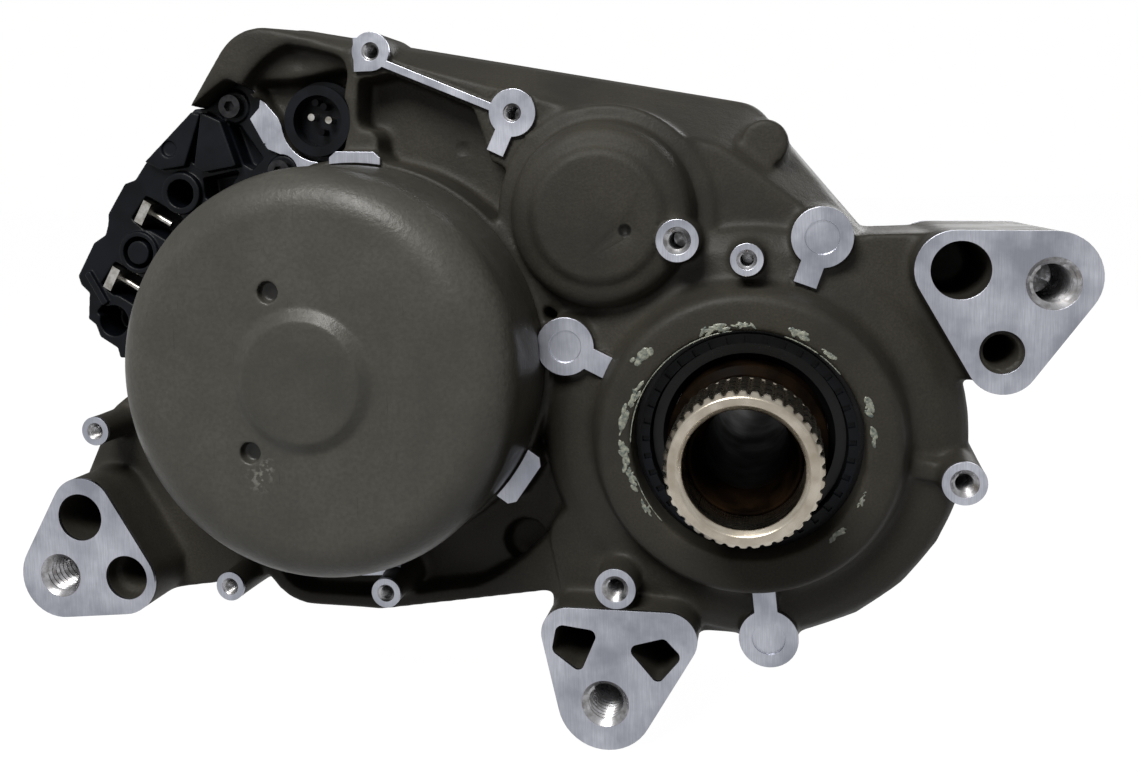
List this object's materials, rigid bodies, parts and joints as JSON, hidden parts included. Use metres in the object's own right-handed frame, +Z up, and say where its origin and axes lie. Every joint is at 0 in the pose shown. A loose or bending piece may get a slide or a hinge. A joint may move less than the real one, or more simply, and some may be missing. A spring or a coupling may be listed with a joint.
{
  "type": "electric drive unit",
  "caption": "Bicycle crank-axle electric drive unit: cast housing with lugs, round motor cap, belt and gear drive to a splined hollow output sleeve, battery connector.",
  "frame": {"origin": "crank axis at the bicycle's centre plane", "axes": "+Y along the crank axis away from the chain side, +X to the right seen from the chain side, +Z up"},
  "size_m": [0.2145, 0.1025, 0.1454],
  "materials": {
    "cast_metal": "die cast, matt paint",
    "cap_metal": "die cast, fine matt paint",
    "black_rubber": "matt",
    "black_plastic": "fine texture",
    "screw_steel": "zinc plated",
    "bearing_steel": "ground",
    "gear_steel": "hobbed",
    "nickel_steel": "nickel plated",
    "dark_steel": "oxide, oiled",
    "lamination": "laminated",
    "copper": "enamelled wire and strip",
    "pulley_metal": "turned",
    "circuit_board": "solder mask",
    "grey_pad": "soft",
    "can_metal": "sleeved",
    "contact_metal": "plated"
  },
  "bodies": {
    "housing": {"main_housing": "cast_metal", "rear_housing": "cast_metal", "housing_gasket": "black_rubber", "motor_cap": "cap_metal", "cap_seal_ring": "black_rubber", "cover_screws": "screw_steel", "dowel_pins": "screw_steel", "motor_bolts": "screw_steel", "stator_core": "lamination", "stator_coils": "copper", "phase_busbars": "copper", "controller_board": "circuit_board", "power_transistors": "black_plastic", "capacitors": "can_metal", "thermal_pad": "grey_pad", "battery_connector": "black_plastic", "connector_gasket": "black_rubber", "connector_screws": "screw_steel", "terminal_blades": "contact_metal", "terminal_pins": "contact_metal", "socket_shell": "black_plastic", "socket_insert": "black_plastic", "socket_pins": "contact_metal", "socket_seal": "black_rubber", "rotor_bearing_outer_rings": "bearing_steel", "lay_bearing_outer_rings": "bearing_steel", "output_bearing_outer_ring": "bearing_steel", "pedal_bearing_outer_ring": "bearing_steel", "output_shaft_seal": "black_rubber", "seal_retaining_ring": "black_plastic", "rear_shaft_seal": "black_rubber", "torque_sensor_coil": "copper", "drive_belt": "black_rubber", "angle_sensor_board": "circuit_board"},
    "rotor": {"rotor_shaft": "bearing_steel", "rotor_core": "lamination", "rotor_magnets": "lamination", "motor_pulley": "pulley_metal", "rotor_bearing_inner_rings": "bearing_steel", "angle_magnet": "lamination"},
    "layshaft": {"layshaft": "bearing_steel", "layshaft_pulley": "pulley_metal", "layshaft_pinion": "gear_steel", "lay_bearing_inner_rings": "bearing_steel"},
    "output": {"output_sleeve": "nickel_steel", "output_gear": "gear_steel", "output_bearing_inner_ring": "bearing_steel", "sleeve_snap_ring": "bearing_steel"},
    "pedal": {"pedal_shaft": "dark_steel", "clutch_rollers": "bearing_steel", "torque_sensor_sleeve": "nickel_steel", "pedal_bearing_inner_ring": "bearing_steel"}
  },
  "joints": [
    {"name": "rotor_spin", "type": "hinge", "parent": "housing", "child": "rotor", "pos_m": [-0.0795, 0, 0.014], "axis": [0, 1, 0], "continuous": true},
    {"name": "layshaft_spin", "type": "hinge", "parent": "housing", "child": "layshaft", "pos_m": [-0.02778, 0, 0.04277], "axis": [0, 1, 0], "continuous": true},
    {"name": "output_spin", "type": "hinge", "parent": "housing", "child": "output", "pos_m": [0, 0, 0], "axis": [0, 1, 0], "continuous": true},
    {"name": "pedal_spin", "type": "hinge", "parent": "housing", "child": "pedal", "pos_m": [0, 0, 0], "axis": [0, 1, 0], "continuous": true}
  ],
  "couplings": [
    {"joint": "layshaft_spin", "follows": "rotor_spin", "ratio": 0.33333},
    {"joint": "output_spin", "follows": "rotor_spin", "ratio": -0.13889}
  ]
}
